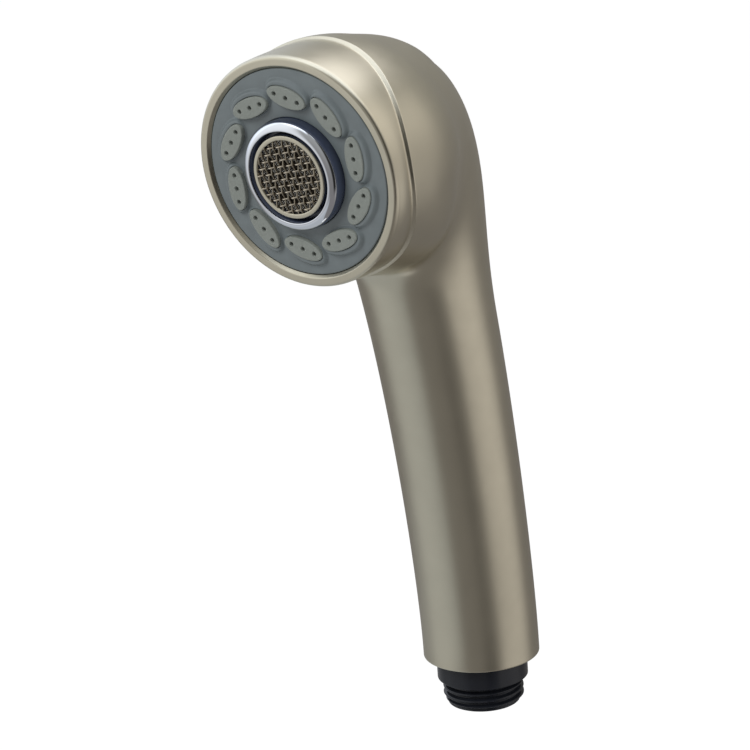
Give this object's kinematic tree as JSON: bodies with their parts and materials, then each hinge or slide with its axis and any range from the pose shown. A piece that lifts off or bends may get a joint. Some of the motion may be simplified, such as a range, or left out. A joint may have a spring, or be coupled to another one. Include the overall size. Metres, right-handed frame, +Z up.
{
  "type": "pull-out spray head",
  "caption": "Hand-held tap spray head with a round tilted face, a ring of nozzle pads round a pull-out aerated stream outlet, a long tapering handle and a G1/2 male hose connector.",
  "frame": {"origin": "centre of the hose thread's upper end, where the thread meets the relief groove under the collar", "axes": "+Z runs up the hose thread's axis into the handle, -Y is the side that the water leaves from, and the casing is symmetric about X = 0"},
  "size_m": [0.058, 0.0828, 0.1841],
  "materials": {
    "nickel": "satin warm nickel plating over moulded ABS",
    "chrome": "bright chrome plating over moulded ABS",
    "face_plastic": "satin blue-grey moulded plastic",
    "nozzle_rubber": "matt light grey silicone rubber",
    "waterway_plastic": "natural acetal",
    "black_plastic": "satin black acetal",
    "seal_rubber": "black nitrile rubber",
    "steel": "stainless steel wire and turned pins",
    "regulator_plastic": "coloured acetal, as flow regulators have"
  },
  "bodies": {
    "spray_head": {"body_shell": "nickel", "front_ring": "nickel", "spray_face": "face_plastic", "nozzle_membrane": "nozzle_rubber", "spray_backplate": "waterway_plastic", "membrane_seal": "seal_rubber", "head_manifold": "waterway_plastic", "diverter_pintle": "steel", "pintle_seal": "seal_rubber", "water_tube": "waterway_plastic", "tube_upper_o_ring": "seal_rubber", "tube_lower_o_ring": "seal_rubber", "handle_insert": "waterway_plastic", "hose_connector": "black_plastic", "connector_o_ring": "seal_rubber", "check_valve_body": "waterway_plastic", "check_valve_o_ring": "seal_rubber", "check_valve_spring": "steel"},
    "stream_selector": {"aerator_sleeve": "chrome", "aerator_housing": "nickel", "aerator_screen": "steel", "flow_straightener": "waterway_plastic", "flow_regulator": "regulator_plastic", "aerator_gasket": "seal_rubber", "diverter_spool": "black_plastic", "spool_o_rings": "seal_rubber"},
    "check_poppet": {"check_valve_poppet": "waterway_plastic", "poppet_seal": "seal_rubber"}
  },
  "joints": [
    {"name": "selector_slide", "type": "slide", "parent": "spray_head", "child": "stream_selector", "axis": [0, -0.9936, -0.1132], "range_m": [0, 0.004]},
    {"name": "check_valve_slide", "type": "slide", "parent": "spray_head", "child": "check_poppet", "axis": [0, 0, 1], "range_m": [0, 0.0025], "stiffness_N_per_m": 150, "springref_m": -0.002, "deforming": ["check_valve_spring"]}
  ]
}
